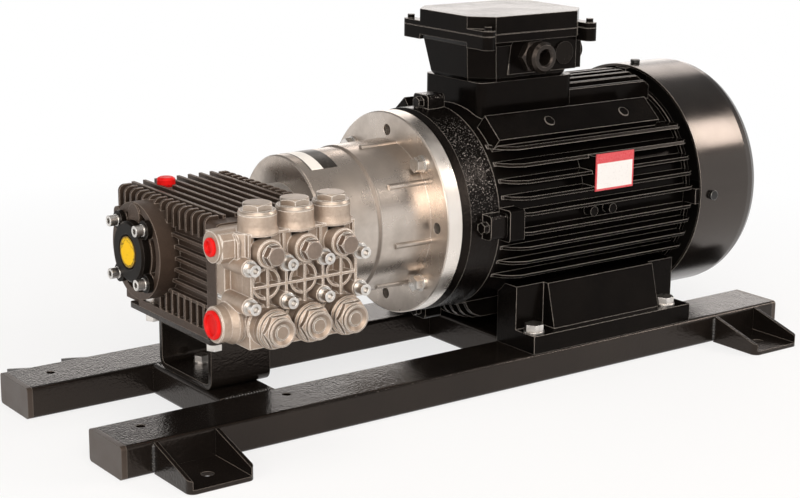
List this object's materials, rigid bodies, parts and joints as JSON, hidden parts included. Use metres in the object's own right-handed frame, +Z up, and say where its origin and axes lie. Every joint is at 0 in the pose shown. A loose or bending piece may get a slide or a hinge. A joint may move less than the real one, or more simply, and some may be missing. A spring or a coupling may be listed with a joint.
{
  "type": "electric high-pressure plunger pump",
  "caption": "Triplex plunger pump with a ribbed valve head, driven through a bell housing by a finned electric motor, on a rail base frame with anchor feet.",
  "frame": {"origin": "on the floor, at the centre of the four anchor holes, under the drive axis", "axes": "+X along the rails from the pump to the motor fan, +Y away from the valve head, +Z up"},
  "size_m": [0.795, 0.3698, 0.3545],
  "materials": {
    "frame_black": "gloss black powder coat",
    "motor_black": "gloss black enamel on cast iron and sheet",
    "cap_black": "moulded, fine grain",
    "crankcase_grey": "dark grey coated aluminium casting",
    "cover_black": "satin",
    "sight_yellow": "gloss",
    "plug_red": "satin",
    "head_metal": "fine cast surface, machined faces",
    "bell_metal": "turned casting",
    "steel": "zinc plated or ground",
    "screw_black": "blackened",
    "laminations": "stacked sheet steel",
    "seal_brass": "machined",
    "label_white": "printed sheet"
  },
  "bodies": {
    "frame_and_housings": {"front_rail": "frame_black", "rear_rail": "frame_black", "front_left_cap": "cap_black", "front_right_cap": "cap_black", "rear_left_cap": "cap_black", "rear_right_cap": "cap_black", "pump_crossmember": "frame_black", "motor_crossmember": "frame_black", "foot_front_left": "frame_black", "foot_front_right": "frame_black", "foot_rear_left": "frame_black", "foot_rear_right": "frame_black", "pump_pedestal": "frame_black", "pump_mounting_plate": "frame_black", "pedestal_bolts": "steel", "pump_foot_bolts": "steel", "crankcase": "crankcase_grey", "crankcase_rear_cover": "crankcase_grey", "oil_drain_plug": "steel", "bearing_cover": "cover_black", "bearing_cover_screws": "steel", "sight_glass": "sight_yellow", "pump_flange": "bell_metal", "crank_bearings": "steel", "manifold_head": "head_metal", "discharge_valve_caps": "head_metal", "gallery_plugs": "head_metal", "suction_valve_caps": "head_metal", "head_bolts": "steel", "seal_carriers": "seal_brass", "bell_housing": "bell_metal", "bell_bolts": "steel", "front_endshield": "motor_black", "motor_frame": "motor_black", "rear_endshield": "motor_black", "fan_cowl": "motor_black", "cowl_screws": "screw_black", "motor_foot_front": "motor_black", "motor_foot_rear": "motor_black", "motor_foot_bolts": "steel", "terminal_box": "motor_black", "cable_gland": "cap_black", "blanking_plugs": "cap_black", "nameplate": "label_white", "stator_core": "laminations"},
    "drive_line": {"crankshaft": "steel", "coupling_pump_hub": "bell_metal", "coupling_motor_hub": "bell_metal", "motor_shaft": "steel", "cooling_fan": "cap_black"},
    "plunger_unit_1": {"crosshead_1": "steel", "plunger_1": "steel"},
    "plunger_unit_2": {"crosshead_2": "steel", "plunger_2": "steel"},
    "plunger_unit_3": {"crosshead_3": "steel", "plunger_3": "steel"},
    "filler_cap": {"oil_filler_cap": "plug_red"},
    "outlet_port_plug": {"outlet_plug": "plug_red"},
    "inlet_port_plug": {"inlet_plug": "plug_red"},
    "terminal_lid": {"terminal_box_lid": "motor_black"}
  },
  "joints": [
    {"name": "drive_rotation", "type": "hinge", "parent": "frame_and_housings", "child": "drive_line", "pos_m": [0, 0, 0.162], "axis": [1, 0, 0], "continuous": true},
    {"name": "plunger_1_stroke", "type": "slide", "parent": "frame_and_housings", "child": "plunger_unit_1", "axis": [0, 1, 0], "range_m": [0, 0.012]},
    {"name": "plunger_2_stroke", "type": "slide", "parent": "frame_and_housings", "child": "plunger_unit_2", "axis": [0, 1, 0], "range_m": [-0.009, 0.003]},
    {"name": "plunger_3_stroke", "type": "slide", "parent": "frame_and_housings", "child": "plunger_unit_3", "axis": [0, 1, 0], "range_m": [-0.009, 0.003]},
    {"name": "filler_cap_lift", "type": "slide", "parent": "frame_and_housings", "child": "filler_cap", "axis": [0, 0, 1], "range_m": [0, 0.03]},
    {"name": "outlet_plug_pull", "type": "slide", "parent": "frame_and_housings", "child": "outlet_port_plug", "axis": [-1, 0, 0], "range_m": [0, 0.03]},
    {"name": "inlet_plug_pull", "type": "slide", "parent": "frame_and_housings", "child": "inlet_port_plug", "axis": [-1, 0, 0], "range_m": [0, 0.03]},
    {"name": "terminal_lid_lift", "type": "slide", "parent": "frame_and_housings", "child": "terminal_lid", "axis": [0, 0, 1], "range_m": [0, 0.06]}
  ]
}
